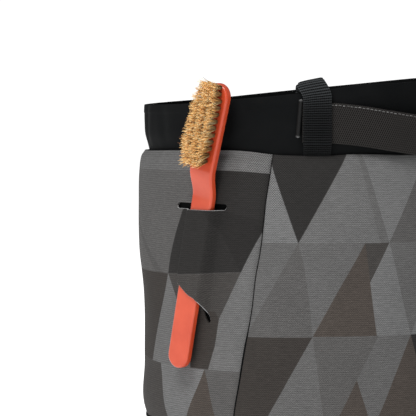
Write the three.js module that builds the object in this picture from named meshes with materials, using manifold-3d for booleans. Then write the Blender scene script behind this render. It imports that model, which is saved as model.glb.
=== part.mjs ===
// A climbing chalk bag that stands on the ground, with a brush in a sleeve of its wall.
// Millimetres, Z up. The bag's axis is Z and it stands on the plane of height 0.
// An angle round the bag is 0 at the front (-Y) and grows to the right (+X), in degrees.
import * as THREE from "three";
import { mergeVertices } from "three/addons/utils/BufferGeometryUtils.js";
import Module from "manifold-3d";

const wasm = await Module();
wasm.setup();

// Driving dimensions
const GAP = 0.3; // kept between neighbouring pieces
const BASE_THICKNESS = 3;
const BASE_EDGE_RADIUS = 1.2;
const WALL_RADIUS = 119.5; // outside of the printed wall, over its lower half
const WALL_SWELL = 3.4; // how much further out the wall stands at its widest
const WALL_TOP = 190;
const WALL_THICKNESS = 1.5;
const SIDE_SEAM_ANGLE = -100;
const LINER_THICKNESS = 2;
const COLLAR_LOW = 33; // the collar's height over the wall's top, on the left
const COLLAR_HIGH = 54; // and on the right
const COLLAR_FLARE = 3.3; // how far the collar widens from its foot to its rim
const COLLAR_THICKNESS = 1.6;
const COLLAR_TUCK = 12; // the stretch of the collar that is hidden behind the wall
const WEBBING_THICKNESS = 1.5;
const LOOP_WIDTH = 18.5;
const LOOP_ANGLE = 1.7;
const LOOP_ARCH = 6.6; // how far the loop stands over the collar's rim
const LOOP_TUCK = 9; // the stretch of the loop that is hidden behind the wall
const LOOP_INNER_LEG = 28; // how far the loop reaches down inside the collar
const STRAP_WIDTH = 26;
const STRAP_THICKNESS = 1.8;
const STRAP_HEIGHT = 22; // the strap's middle over the wall's top, in the loops
const STRAP_BOW = 13; // how far the strap stands off at the right side
const STRAP_DROOP = 19; // how far it hangs down there
const STRAP_PAST_LOOP = 2; // the strap's end shows this far out of the loop
const STRAP_END_DIAMETER = 3.2;
const BRUSH_ANGLE = -39;
const BRUSH_TILT = 11.5; // the handle's foot leans to the left
const BRUSH_LENGTH = 200;
const BRUSH_ABOVE_SLOT = 85;
const HANDLE_WIDTH = 17.8;
const HANDLE_THICKNESS = 5.4;
const HANDLE_EDGE_RADIUS = 1.2;
const HEAD_WIDTH = 20;
const HEAD_LENGTH = 61;
const HEAD_OFFSET = 5.7; // how far the bent neck brings the head out from the handle's plane
const HEAD_LEAN = 4.6; // the head's end leans back to that plane
const NECK_LENGTH = 20;
const BRISTLE_LENGTH = 14.5; // at the neck
const BRISTLE_END_LENGTH = 11.5; // at the head's end
const BRISTLE_PAD = 0.9; // the thin bed that joins the tufts
const TUFT_DIAMETER = 3.6;
const TUFT_PITCH = 4.5;
const TUFT_ROW_PITCH = 5.6;
const TUFT_ROWS = 3;
const TUFT_FAN_ALONG = 0.16; // in radians from the first tuft to the last
const TUFT_FAN_ACROSS = 0.24;
const HEAD_END_NARROWING = 0.4; // the share by which the rows draw together there
const NECK_END_NARROWING = 0.2;
const SLOT_DROP = 32.8; // from the wall's top down to the slot
const SLOT_GAP = 4.2;
const SLOT_PAST_LEFT = 6.7; // how far the slot runs past the sleeve
const SLOT_PAST_RIGHT = 1.4;
const SLEEVE_LENGTH = 48.7; // from the slot down to the slit's left end
const SLEEVE_PLAY = 0.6; // the sleeve's room beside the handle
const SLEEVE_SIDE = 6.8; // the width of each sloping side of the sleeve
const SLIT_FALL = 24.3; // how much lower the slit's right end is
const SLIT_GAP = 3.2;

// The printed wall from the side, as shares of its height and of its swell
const WALL_OUTLINE = [
  { height: 0, swell: -0.35 },
  { height: 0.02, swell: 0 },
  { height: 0.38, swell: 0 },
  { height: 0.49, swell: 0.18 },
  { height: 0.555, swell: 0.47 },
  { height: 0.61, swell: 0.8 },
  { height: 0.7, swell: 1 },
  { height: 0.8, swell: 1 },
  { height: 0.93, swell: 0.85 },
  { height: 0.975, swell: 0.55 },
  { height: 1, swell: 0 },
];

// The curved seam between the two printed panels, as shares of the wall's height, and its angle
const FRONT_SEAM = [
  { height: 0, angle: -27 },
  { height: 0.3, angle: -22.6 },
  { height: 0.44, angle: -20 },
  { height: 0.57, angle: -18.2 },
  { height: 0.64, angle: -16.8 },
  { height: 0.76, angle: -15.4 },
  { height: 0.83, angle: -14.8 },
  { height: 0.93, angle: -13.4 },
  { height: 1, angle: -12.8 },
];

// The collar from the side, as shares of its height over the wall's top and of its flare
const COLLAR_OUTLINE = [
  { height: 0, flare: 0 },
  { height: 0.15, flare: 0.35 },
  { height: 0.35, flare: 0.85 },
  { height: 0.6, flare: 1 },
  { height: 0.9, flare: 1 },
  { height: 1, flare: 0.93 },
];

// The strap's way from a loop to the right side: the share of the quarter turn between them,
// and shares of the bow and of the droop
const STRAP_ROUTE = [
  { turn: 0, bow: 0, droop: 0 },
  { turn: 0.12, bow: 0, droop: 0.04 },
  { turn: 0.2, bow: 0.1, droop: 0.13 },
  { turn: 0.3, bow: 0.32, droop: 0.3 },
  { turn: 0.42, bow: 0.58, droop: 0.5 },
  { turn: 0.55, bow: 0.78, droop: 0.68 },
  { turn: 0.7, bow: 0.92, droop: 0.85 },
  { turn: 0.85, bow: 0.99, droop: 0.97 },
  { turn: 1, bow: 1, droop: 1 },
];

// The value that a table gives at a place along one of its columns
function lookUp(table, column, place, wanted) {
  const after = table.findIndex((row) => row[column] > place);
  if (after === 0) return table[0][wanted];
  if (after < 0) return table[table.length - 1][wanted];
  const low = table[after - 1];
  const high = table[after];
  const share = (place - low[column]) / (high[column] - low[column]);
  return THREE.MathUtils.lerp(low[wanted], high[wanted], share);
}

// The point at an angle, a distance from the axis and a height
function around(angle, radius, height) {
  const turn = THREE.MathUtils.degToRad(angle);
  return new THREE.Vector3(radius * Math.sin(turn), -radius * Math.cos(turn), height);
}

// A sheet as a closed solid: a grid of points on its front and one on its back, joined round the rim
// and round each hole. Seen from the front, columns count to the right and rows upwards.
function sheetSolid({ columns, rows, front, back, isHole = () => false, closed = false }) {
  const positions = [];
  for (const face of [front, back])
    for (let row = 0; row < rows; row++)
      for (let column = 0; column < columns; column++) positions.push(...face(column, row));
  const at = (face, column, row) => (face * rows + row) * columns + (column % columns);
  const cellColumns = closed ? columns : columns - 1;
  const isCell = (column, row) => {
    if (row < 0 || row >= rows - 1) return false;
    if (!closed && (column < 0 || column >= cellColumns)) return false;
    return !isHole((column + cellColumns) % cellColumns, row);
  };
  const triangles = [];
  const quad = (a, b, c, d) => triangles.push(a, b, d, b, c, d);
  for (let row = 0; row < rows - 1; row++)
    for (let column = 0; column < cellColumns; column++) {
      if (!isCell(column, row)) continue;
      const right = column + 1;
      const up = row + 1;
      quad(at(0, column, row), at(0, right, row), at(0, right, up), at(0, column, up));
      quad(at(1, column, row), at(1, column, up), at(1, right, up), at(1, right, row));
      if (!isCell(column, row - 1))
        quad(at(0, right, row), at(0, column, row), at(1, column, row), at(1, right, row));
      if (!isCell(column, row + 1))
        quad(at(0, column, up), at(0, right, up), at(1, right, up), at(1, column, up));
      if (!isCell(column - 1, row))
        quad(at(0, column, row), at(0, column, up), at(1, column, up), at(1, column, row));
      if (!isCell(column + 1, row))
        quad(at(0, right, up), at(0, right, row), at(1, right, row), at(1, right, up));
    }
  const geometry = new THREE.BufferGeometry();
  geometry.setAttribute("position", new THREE.Float32BufferAttribute(positions, 3));
  geometry.setIndex(triangles);
  geometry.computeVertexNormals();
  return geometry;
}

// Joining solids: a closed geometry as a manifold solid, and back
function toSolid(geometry) {
  const bare = geometry.clone();
  bare.deleteAttribute("normal");
  bare.deleteAttribute("uv");
  const merged = mergeVertices(bare);
  return new wasm.Manifold(
    new wasm.Mesh({
      numProp: 3,
      vertProperties: merged.attributes.position.array,
      triVerts: new Uint32Array(merged.index.array),
    }),
  );
}

function toGeometry(solid) {
  const mesh = solid.getMesh();
  const geometry = new THREE.BufferGeometry();
  geometry.setAttribute("position", new THREE.BufferAttribute(mesh.vertProperties, 3));
  geometry.setIndex(new THREE.BufferAttribute(mesh.triVerts, 1));
  geometry.computeVertexNormals();
  return geometry;
}

// The printed wall: its foot, its outside radius at a height, and the seam between its panels
const wallFoot = BASE_THICKNESS + GAP;
const wallWidest = WALL_RADIUS + WALL_SWELL;
const wallShare = (height) => (height - wallFoot) / (WALL_TOP - wallFoot);
const wallHeight = (share) => THREE.MathUtils.lerp(wallFoot, WALL_TOP, share);
const wallRadius = (height) =>
  WALL_RADIUS + WALL_SWELL * lookUp(WALL_OUTLINE, "height", wallShare(height), "swell");
const seamAngle = (height) => lookUp(FRONT_SEAM, "height", wallShare(height), "angle");
const seamGapAngle = THREE.MathUtils.radToDeg(GAP / WALL_RADIUS);

// The brush's own frame: its back lies on a flat plane that just clears the wall
const brushPlane = wallWidest + GAP;
const slotTop = WALL_TOP - SLOT_DROP;
const slotBottom = slotTop - SLOT_GAP;
const slitLeft = slotBottom - SLEEVE_LENGTH;
const brushHeight = slotBottom - SLEEVE_LENGTH * 0.68;
const brushOut = around(BRUSH_ANGLE, 1, 0);
const brushSide = around(BRUSH_ANGLE + 90, 1, 0);
const brushLean = Math.tan(THREE.MathUtils.degToRad(BRUSH_TILT));

// The printed panel that goes from the front seam round the right side and the back
function outerWallGeometry() {
  const columns = 58;
  const rows = WALL_OUTLINE.length;
  const end = SIDE_SEAM_ANGLE + 360;
  const point = (inset) => (column, row) => {
    const height = wallHeight(WALL_OUTLINE[row].height);
    const start = seamAngle(height) + seamGapAngle;
    const angle = THREE.MathUtils.lerp(start, end, column / (columns - 1));
    return around(angle, wallRadius(height) - inset, height);
  };
  return sheetSolid({ columns, rows, front: point(0), back: point(WALL_THICKNESS) });
}

// The printed panel with the brush's sleeve. Its middle columns run beside the handle, and its rows
// bend to follow the slanted slit. Between the slit and the slot the cloth rises over the handle.
function brushPanelGeometry() {
  const flat = HANDLE_WIDTH / 2 + SLEEVE_PLAY;
  const foot = flat + SLEEVE_SIDE;
  const besideHandle = [
    -foot - SLOT_PAST_LEFT,
    -foot,
    -flat - SLEEVE_SIDE * 0.66,
    -flat - SLEEVE_SIDE * 0.33,
    -flat,
    -flat * 0.5,
    0,
    flat * 0.5,
    flat,
    flat + SLEEVE_SIDE * 0.33,
    flat + SLEEVE_SIDE * 0.66,
    foot,
    foot + SLOT_PAST_RIGHT,
  ];
  const leftColumns = 10;
  const rightColumns = 4;
  const lastBeside = besideHandle.length - 1;
  const columns = leftColumns + besideHandle.length + rightColumns;
  const slitSpan = foot + SLOT_PAST_RIGHT + foot;

  // The height of the slit's lower lip beside the handle
  const slitHeight = (beside) => {
    const share = THREE.MathUtils.clamp((beside + foot) / slitSpan, 0, 1);
    return slitLeft - SLIT_GAP - SLIT_FALL * share;
  };
  const belowSlit = [0, 0.04, 0.35, 0.7, 1];
  const sleeveRows = [0, 0.15, 0.35, 0.6, 0.85, 1];
  const aboveSlot = [0, 0.35, 0.66, 0.86, 1];
  const slitRow = belowSlit.length - 1;
  const slotRow = slitRow + sleeveRows.length;
  const rows = belowSlit.length + sleeveRows.length + aboveSlot.length;

  const besideOf = (column) =>
    besideHandle[THREE.MathUtils.clamp(column - leftColumns, 0, lastBeside)];
  const heightOf = (column, row) => {
    const slit = slitHeight(besideOf(column));
    if (row <= slitRow) return THREE.MathUtils.lerp(wallFoot, slit, belowSlit[row]);
    if (row <= slotRow)
      return THREE.MathUtils.lerp(slit + SLIT_GAP, slotBottom, sleeveRows[row - slitRow - 1]);
    return THREE.MathUtils.lerp(slotTop, WALL_TOP, aboveSlot[row - slotRow - 1]);
  };
  const angleBeside = (beside, height) => {
    const across = (height - brushHeight) * brushLean + beside;
    return BRUSH_ANGLE + THREE.MathUtils.radToDeg(Math.atan(across / wallWidest));
  };
  const angleOf = (column, height) => {
    const beside = column - leftColumns;
    if (beside < 0) {
      const share = column / leftColumns;
      return THREE.MathUtils.lerp(
        SIDE_SEAM_ANGLE + seamGapAngle,
        angleBeside(besideHandle[0], height),
        share,
      );
    }
    if (beside <= lastBeside) return angleBeside(besideHandle[beside], height);
    const share = (beside - lastBeside) / rightColumns;
    return THREE.MathUtils.lerp(
      angleBeside(besideHandle[lastBeside], height),
      seamAngle(height),
      share,
    );
  };
  const riseOf = (column, row) => {
    if (row <= slitRow || row > slotRow) return 0;
    const beside = Math.abs(besideOf(column));
    return 1 - THREE.MathUtils.smoothstep(beside, flat, foot);
  };
  const overHandle = brushPlane + HANDLE_THICKNESS + GAP + WALL_THICKNESS;
  const point = (inset) => (column, row) => {
    const height = heightOf(column, row);
    const onWall = around(angleOf(column, height), wallRadius(height) - inset, height);
    const lift = (overHandle - inset - onWall.dot(brushOut)) * riseOf(column, row);
    return onWall.addScaledVector(brushOut, lift);
  };
  const isHole = (column, row) => {
    const beside = column - leftColumns;
    if (beside < 0 || beside >= lastBeside) return false;
    return row === slotRow || (row === slitRow && beside > 0);
  };
  return sheetSolid({
    columns,
    rows,
    front: point(0),
    back: point(WALL_THICKNESS),
    isHole,
  });
}

// The black inside wall with its floor, which fills the printed wall and stands on the base
function innerWallGeometry() {
  const top = WALL_TOP - COLLAR_TUCK - GAP;
  const profile = [new THREE.Vector2(0, wallFoot)];
  const heights = WALL_OUTLINE.map((row) => wallHeight(row.height)).filter(
    (height) => height < top,
  );
  heights.push(top);
  for (const height of heights)
    profile.push(new THREE.Vector2(wallRadius(height) - WALL_THICKNESS - GAP, height));
  const floor = wallFoot + LINER_THICKNESS;
  const inside = heights.filter((height) => height > floor).reverse();
  for (const height of inside) {
    const radius = wallRadius(height) - WALL_THICKNESS - GAP - LINER_THICKNESS;
    profile.push(new THREE.Vector2(radius, height));
  }
  const floorRadius = wallRadius(floor) - WALL_THICKNESS - GAP - LINER_THICKNESS;
  profile.push(new THREE.Vector2(floorRadius, floor));
  profile.push(new THREE.Vector2(0, floor));
  return new THREE.LatheGeometry(profile, 48).rotateX(Math.PI / 2);
}

// The round bottom panel, with its lower and upper edges rounded off
function basePanelGeometry() {
  const radius = WALL_RADIUS - WALL_THICKNESS / 2;
  const round = BASE_EDGE_RADIUS;
  const profile = [
    new THREE.Vector2(0, 0),
    new THREE.Vector2(radius - round, 0),
    new THREE.Vector2(radius - round * 0.3, round * 0.3),
    new THREE.Vector2(radius, round),
    new THREE.Vector2(radius, BASE_THICKNESS - round),
    new THREE.Vector2(radius - round * 0.3, BASE_THICKNESS - round * 0.3),
    new THREE.Vector2(radius - round, BASE_THICKNESS),
    new THREE.Vector2(0, BASE_THICKNESS),
  ];
  return new THREE.LatheGeometry(profile, 48).rotateX(Math.PI / 2);
}

// The collar: an open cuff whose rim rises evenly from the left to the right
const collarFoot = wallRadius(WALL_TOP) - WALL_THICKNESS - WEBBING_THICKNESS - 2 * GAP;
const collarWidest = collarFoot + COLLAR_FLARE;
const collarRise = (angle) => {
  const share = (1 + Math.sin(THREE.MathUtils.degToRad(angle))) / 2;
  return THREE.MathUtils.lerp(COLLAR_LOW, COLLAR_HIGH, share);
};
const collarRadius = (angle, height) => {
  const share = (height - WALL_TOP) / collarRise(angle);
  return collarFoot + COLLAR_FLARE * lookUp(COLLAR_OUTLINE, "height", share, "flare");
};

function collarGeometry() {
  const columns = 56;
  const rows = COLLAR_OUTLINE.length + 1;
  const point = (inset) => (column, row) => {
    const angle = (360 * column) / columns;
    const height =
      row === 0
        ? WALL_TOP - COLLAR_TUCK
        : WALL_TOP + COLLAR_OUTLINE[row - 1].height * collarRise(angle);
    return around(angle, collarRadius(angle, height) - inset, height);
  };
  return sheetSolid({
    columns,
    rows,
    front: point(0),
    back: point(COLLAR_THICKNESS),
    closed: true,
  });
}

// The strap lies on the collar in the loops, and each loop's outer leg lies on the strap
const strapInside = collarWidest + GAP;
const strapMiddle = WALL_TOP + STRAP_HEIGHT;
const loopHalfAngle = THREE.MathUtils.radToDeg(LOOP_WIDTH / 2 / strapInside);
const strapStart =
  LOOP_ANGLE - loopHalfAngle - THREE.MathUtils.radToDeg(STRAP_PAST_LOOP / strapInside);

// One webbing loop: from behind the wall, over the strap and the collar's rim, and down inside
function webbingLoopGeometry(angle) {
  const half = WEBBING_THICKNESS / 2;
  const rim = WALL_TOP + collarRise(angle);
  const tucked = wallRadius(WALL_TOP) - WALL_THICKNESS - GAP - half;
  const outside = strapInside + STRAP_THICKNESS + GAP + half;
  const inner = (height) => collarRadius(angle, height) - COLLAR_THICKNESS - GAP - half;
  const low = rim - LOOP_INNER_LEG;
  const strapFoot = strapMiddle - STRAP_WIDTH / 2;
  const path = new THREE.CatmullRomCurve3(
    [
      [tucked, WALL_TOP - LOOP_TUCK],
      [tucked, WALL_TOP - LOOP_TUCK / 2],
      [tucked, WALL_TOP + GAP],
      [outside, strapFoot - GAP],
      [outside, strapFoot + STRAP_WIDTH / 4],
      [outside, strapMiddle],
      [outside, strapFoot + STRAP_WIDTH],
      [outside - half / 2, rim + LOOP_ARCH / 4],
      [(outside + inner(rim)) / 2, rim + LOOP_ARCH - half],
      [inner(rim) - half / 2, rim + LOOP_ARCH / 4],
      [inner(rim - LOOP_INNER_LEG / 4), rim - LOOP_INNER_LEG / 4],
      [inner(rim - LOOP_INNER_LEG / 2), rim - LOOP_INNER_LEG / 2],
      [inner(low), low],
    ].map(([radius, height]) => new THREE.Vector3(radius, height, 0)),
    false,
    "centripetal",
  );
  const rows = 34;
  const columns = 4;
  const point = (offset) => (column, row) => {
    const share = row / (rows - 1);
    const middle = path.getPoint(share);
    const along = path.getTangent(share);
    const radius = middle.x + along.y * offset;
    const height = middle.y - along.x * offset;
    const turn = THREE.MathUtils.lerp(-loopHalfAngle, loopHalfAngle, column / (columns - 1));
    return around(angle + turn, radius, height);
  };
  return sheetSolid({ columns, rows, front: point(half), back: point(-half) });
}

// The carry strap: from one loop, round the right side, to the other
function carryStrapGeometry() {
  const quarter = 90 - strapStart;
  const stations = STRAP_ROUTE.flatMap((row, index) => {
    const next = STRAP_ROUTE[index + 1];
    return next ? [row.turn, (row.turn + next.turn) / 2] : [row.turn];
  });
  const turns = [...stations, ...stations.slice(0, -1).reverse().map((turn) => 2 - turn)];
  const columns = turns.length;
  const rows = 2;
  const point = (offset) => (column, row) => {
    const place = 1 - Math.abs(1 - turns[column]);
    const bow = STRAP_BOW * lookUp(STRAP_ROUTE, "turn", place, "bow");
    const droop = STRAP_DROOP * lookUp(STRAP_ROUTE, "turn", place, "droop");
    const height = strapMiddle - droop + (row - 0.5) * STRAP_WIDTH;
    return around(strapStart + quarter * turns[column], strapInside + bow + offset, height);
  };
  return sheetSolid({ columns, rows, front: point(STRAP_THICKNESS), back: point(0) });
}

// A stiff round end that keeps the strap from slipping out of its loop
function strapEndGeometry(angle) {
  const radius = STRAP_END_DIAMETER / 2;
  const half = STRAP_WIDTH / 2;
  const profile = [
    new THREE.Vector2(0, -half),
    new THREE.Vector2(radius * 0.7, -half + radius * 0.3),
    new THREE.Vector2(radius, -half + radius),
    new THREE.Vector2(radius, half - radius),
    new THREE.Vector2(radius * 0.7, half - radius * 0.3),
    new THREE.Vector2(0, half),
  ];
  const place = around(angle, strapInside + radius, strapMiddle);
  return new THREE.LatheGeometry(profile, 10).rotateX(Math.PI / 2).translate(...place);
}

// The brush's handle and head, on its back, drawn along its own length
const lengthOf = (height) => (height - brushHeight) / Math.cos(THREE.MathUtils.degToRad(BRUSH_TILT));
const headEnd = lengthOf(slotTop) + BRUSH_ABOVE_SLOT;
const handleEnd = headEnd - BRUSH_LENGTH;
const headStart = headEnd - HEAD_LENGTH;
const headSlope = Math.tan(THREE.MathUtils.degToRad(HEAD_LEAN));

function brushHandleGeometry() {
  const edge = HANDLE_EDGE_RADIUS;
  const neck = headStart - NECK_LENGTH;
  const roundEnd = (radius) => [0, edge * 0.3, edge, ...[0.3, 0.5, 0.75, 1].map((share) => share * radius)];
  const places = roundEnd(HANDLE_WIDTH / 2).map((depth) => handleEnd + depth);
  for (let step = 0; step <= 8; step++) places.push(THREE.MathUtils.lerp(neck, headStart, step / 8));
  for (const depth of roundEnd(HEAD_WIDTH / 2).reverse()) places.push(headEnd - depth);

  const depthOf = (place) => Math.min(place - handleEnd, headEnd - place);
  const halfWidth = (place) => {
    const flare = THREE.MathUtils.smoothstep(place, neck, headStart);
    const full = THREE.MathUtils.lerp(HANDLE_WIDTH, HEAD_WIDTH, flare) / 2;
    const short = Math.max(0, full - depthOf(place));
    return Math.max(Math.sqrt(full * full - short * short), edge * 1.5);
  };
  const sides = [0, edge * 0.3, edge];
  const acrossOf = (column, half) => (column < 3 ? sides[column] - half : half - sides[5 - column]);
  const roundOff = (depth) => edge - Math.sqrt(edge ** 2 - Math.max(0, edge - depth) ** 2);

  // The neck bends outwards, and the head leans back a little
  const standOff = (place) =>
    HEAD_OFFSET * THREE.MathUtils.smoothstep(place, neck, headStart) -
    headSlope * Math.max(0, place - headStart);
  const point = (isFront) => (column, row) => {
    const place = places[row];
    const across = acrossOf(column, halfWidth(place));
    const inset = Math.max(roundOff(sides[Math.min(column, 5 - column)]), roundOff(depthOf(place)));
    const out = isFront ? HANDLE_THICKNESS - inset : inset;
    return new THREE.Vector3(across, place, out + standOff(place));
  };
  return sheetSolid({ columns: 6, rows: places.length, front: point(true), back: point(false) });
}

// The bristles: rows of tufts that widen to their tips, joined by a thin bed on the head
function brushBristlesGeometry() {
  const base = TUFT_DIAMETER / 2;
  const tip = TUFT_PITCH * 0.49;
  const rowWidth = (TUFT_ROWS - 1) * TUFT_ROW_PITCH;
  const headMiddle = (headStart + headEnd) / 2;
  const count = Math.floor((HEAD_LENGTH - HEAD_WIDTH / 2) / TUFT_PITCH) + 1;
  const span = (count - 1) * TUFT_PITCH;
  const sink = BRISTLE_PAD / 2;
  const bed = new THREE.BoxGeometry(rowWidth + TUFT_DIAMETER, span + TUFT_DIAMETER, BRISTLE_PAD);
  let brush = toSolid(bed.translate(0, headMiddle, BRISTLE_PAD / 2));
  for (let row = 0; row < TUFT_ROWS; row++)
    for (let index = 0; index < count; index++) {
      const side = row / (TUFT_ROWS - 1) - 0.5;
      const along = index / (count - 1) - 0.5;
      const length = THREE.MathUtils.lerp(BRISTLE_LENGTH, BRISTLE_END_LENGTH, along + 0.5) - sink;
      const narrowing = along > 0 ? HEAD_END_NARROWING : NECK_END_NARROWING;
      const narrow = 1 - narrowing * THREE.MathUtils.smoothstep(Math.abs(along), 0.3, 0.5);
      const tuft = new THREE.CylinderGeometry(tip, base, length, 6)
        .rotateX(Math.PI / 2)
        .translate(0, 0, length / 2)
        .rotateX(-along * TUFT_FAN_ALONG)
        .rotateY(side * TUFT_FAN_ACROSS)
        .translate(side * rowWidth * narrow, headMiddle + along * span, sink);
      brush = brush.add(toSolid(tuft));
    }
  const lean = new THREE.Matrix4().makeShear(0, 0, 0, -headSlope, 0, 0);
  return toGeometry(brush)
    .applyMatrix4(lean)
    .translate(0, 0, HEAD_OFFSET + headSlope * headStart);
}

const cloth = (color) => new THREE.MeshStandardMaterial({ color, roughness: 0.9, metalness: 0 });
const printedCloth = cloth(0x676664);
const blackNylon = cloth(0x191a1c);
const blackWebbing = cloth(0x1c1d1f);
const taupeWebbing = cloth(0x4b4746);
const orangePlastic = new THREE.MeshStandardMaterial({
  color: 0xdd4f32,
  roughness: 0.42,
  metalness: 0,
});
const boarBristle = cloth(0xa87744);

function piece(name, geometry, material) {
  const mesh = new THREE.Mesh(geometry, material);
  mesh.name = name;
  return mesh;
}

// The brush slides up along its handle, out of the sleeve
function brushGroup() {
  const tilt = THREE.MathUtils.degToRad(BRUSH_TILT);
  const up = new THREE.Vector3(0, 0, 1);
  const along = up.clone().multiplyScalar(Math.cos(tilt));
  along.addScaledVector(brushSide, Math.sin(tilt));
  const across = brushSide.clone().multiplyScalar(Math.cos(tilt));
  across.addScaledVector(up, -Math.sin(tilt));
  const group = new THREE.Group();
  group.quaternion.setFromRotationMatrix(
    new THREE.Matrix4().makeBasis(across, along, brushOut),
  );
  group.position.copy(brushOut).multiplyScalar(brushPlane);
  group.position.z = brushHeight;
  group.add(piece("brush_handle", brushHandleGeometry(), orangePlastic));
  const bristles = piece("brush_bristles", brushBristlesGeometry(), boarBristle);
  bristles.position.z = HANDLE_THICKNESS + GAP;
  group.add(bristles);
  return group;
}

const bag = new THREE.Group();
const endAngle = THREE.MathUtils.radToDeg((STRAP_END_DIAMETER / 2 + GAP) / strapInside);
bag.add(
  piece("base_panel", basePanelGeometry(), blackNylon),
  piece("inner_wall", innerWallGeometry(), blackNylon),
  piece("outer_wall", outerWallGeometry(), printedCloth),
  piece("brush_panel", brushPanelGeometry(), printedCloth),
  piece("collar", collarGeometry(), blackNylon),
  piece("webbing_loop_near", webbingLoopGeometry(LOOP_ANGLE), blackWebbing),
  piece("webbing_loop_far", webbingLoopGeometry(180 - LOOP_ANGLE), blackWebbing),
  piece("carry_strap", carryStrapGeometry(), taupeWebbing),
  piece("strap_end_near", strapEndGeometry(strapStart - endAngle), blackNylon),
  piece("strap_end_far", strapEndGeometry(180 - strapStart + endAngle), blackNylon),
  brushGroup(),
);

export default bag;
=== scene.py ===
import math
import random

import bmesh
import bpy
import numpy as np
from mathutils import Matrix, Vector, noise


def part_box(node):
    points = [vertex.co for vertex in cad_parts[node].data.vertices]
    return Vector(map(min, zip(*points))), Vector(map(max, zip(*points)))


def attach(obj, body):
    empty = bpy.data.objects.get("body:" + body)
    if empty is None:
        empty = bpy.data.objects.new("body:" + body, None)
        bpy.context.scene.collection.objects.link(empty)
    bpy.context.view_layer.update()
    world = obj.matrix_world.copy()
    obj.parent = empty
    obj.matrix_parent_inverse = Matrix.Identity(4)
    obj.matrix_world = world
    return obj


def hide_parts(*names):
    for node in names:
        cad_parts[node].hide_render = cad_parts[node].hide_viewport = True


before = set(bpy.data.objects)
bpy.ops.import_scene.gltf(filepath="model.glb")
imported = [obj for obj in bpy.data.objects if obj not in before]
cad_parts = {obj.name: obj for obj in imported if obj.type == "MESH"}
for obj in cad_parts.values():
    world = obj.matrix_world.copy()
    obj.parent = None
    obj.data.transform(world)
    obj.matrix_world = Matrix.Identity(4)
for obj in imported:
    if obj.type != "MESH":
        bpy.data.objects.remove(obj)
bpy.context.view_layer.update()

MM = 0.001

# Sizes taken from the frame. The bag's axis is Z, and an angle round it is 0 at the front (-Y)
# and grows to the right (+X), in degrees.
(_, _, WALL_FOOT), (WALL_WIDEST, _, WALL_TOP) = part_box("outer_wall")
(_, _, BASE_FOOT), (_, _, BASE_TOP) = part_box("base_panel")

GAP = 0.3 * MM
WALL_SWELL = 3.4 * MM
WALL_RADIUS = WALL_WIDEST - WALL_SWELL
WALL_THICKNESS = 1.5 * MM
WALL_DEGREE = math.radians(1) * WALL_WIDEST / MM  # millimetres of the wall's cloth in a degree
SIDE_SEAM = -100
SEAM_GAP = 0.12  # degrees from a seam to each panel's edge

# The wall from the side, as in the frame: shares of its height and of its swell
WALL_OUTLINE = [
    (0.0, -0.35), (0.02, 0.0), (0.2, 0.0), (0.38, 0.0), (0.49, 0.18), (0.555, 0.47), (0.61, 0.8),
    (0.7, 1.0), (0.8, 1.0), (0.93, 0.85), (0.965, 0.65), (0.985, 0.35), (1.0, -0.25),
]

# The curved seam between the printed panels: share of the wall's height, angle
FRONT_SEAM = [
    (0.0, -27.0), (0.3, -22.6), (0.44, -20.0), (0.57, -18.2), (0.64, -16.8),
    (0.76, -15.4), (0.83, -14.8), (0.93, -13.4), (1.0, -12.8),
]

# How far the wall's top edge stands over or under its mean height: angle, millimetres
RIM_WAVE = [
    (-100, 0.2), (-75, 0.8), (-50, 2.4), (-20, 2.6), (-13, 1.0), (-4, 0.3), (5, 0.3),
    (12, 1.2), (30, 0.4), (70, 0.9), (110, -0.4), (160, 0.6), (210, -0.3), (260, 0.2),
]


def smooth_table(table, place):
    """Reads a two-column table at a place or an array of places, on a smooth curve."""
    known = np.array([row[0] for row in table], float)
    values = np.array([row[1] for row in table], float)
    slopes = np.gradient(values, known)
    place = np.clip(place, known[0], known[-1])
    index = np.clip(np.searchsorted(known, place, side="right") - 1, 0, len(known) - 2)
    span = known[index + 1] - known[index]
    t = (place - known[index]) / span
    eased = values[index] + (values[index + 1] - values[index]) * t * t * (3 - 2 * t)
    bend = slopes[index] * (1 - t) - slopes[index + 1] * t
    return eased + bend * span * t * (1 - t)


def smooth_step(low, high, value):
    t = np.clip((value - low) / (high - low), 0, 1)
    return t * t * (3 - 2 * t)


def bump_at(value, centre, width):
    """A smooth bump of height 1 at the centre that has died out two widths away."""
    return np.exp(-(((value - centre) / width) ** 2))


def spaced(count, first, last, bunching=0.11):
    """Numbers from first to last that lie closer together at both ends, or in the middle where
    the bunching is below 0."""
    share = np.linspace(0, 1, count)
    return first + (last - first) * (share - bunching * np.sin(2 * np.pi * share))


def points_at(x, y, z=0.0):
    """One array of points from the arrays or numbers of their coordinates."""
    return np.stack(np.broadcast_arrays(x, y, z), axis=-1)


def around(angle, radius, height):
    """The points at angles in degrees, distances from the axis and heights."""
    turn = np.radians(angle)
    return points_at(radius * np.sin(turn), -radius * np.cos(turn), height)


def wall_share(height):
    return (height - WALL_FOOT) / (WALL_TOP - WALL_FOOT)


def wall_radius(height):
    return WALL_RADIUS + WALL_SWELL * smooth_table(WALL_OUTLINE, wall_share(height))


def seam_angle(height):
    return smooth_table(FRONT_SEAM, wall_share(height))


def rim_lift(angle, height):
    """How far the waving top edge lifts the cloth under it, which dies out at the slot."""
    return smooth_table(RIM_WAVE, angle) * MM * smooth_step(0.83, 1.0, wall_share(height))


# Mesh making


def new_object(name, mesh):
    piece = bpy.data.objects.new(name, mesh)
    bpy.context.scene.collection.objects.link(piece)
    return piece


def shade_smooth(mesh):
    mesh.polygons.foreach_set("use_smooth", [True] * len(mesh.polygons))


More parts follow.
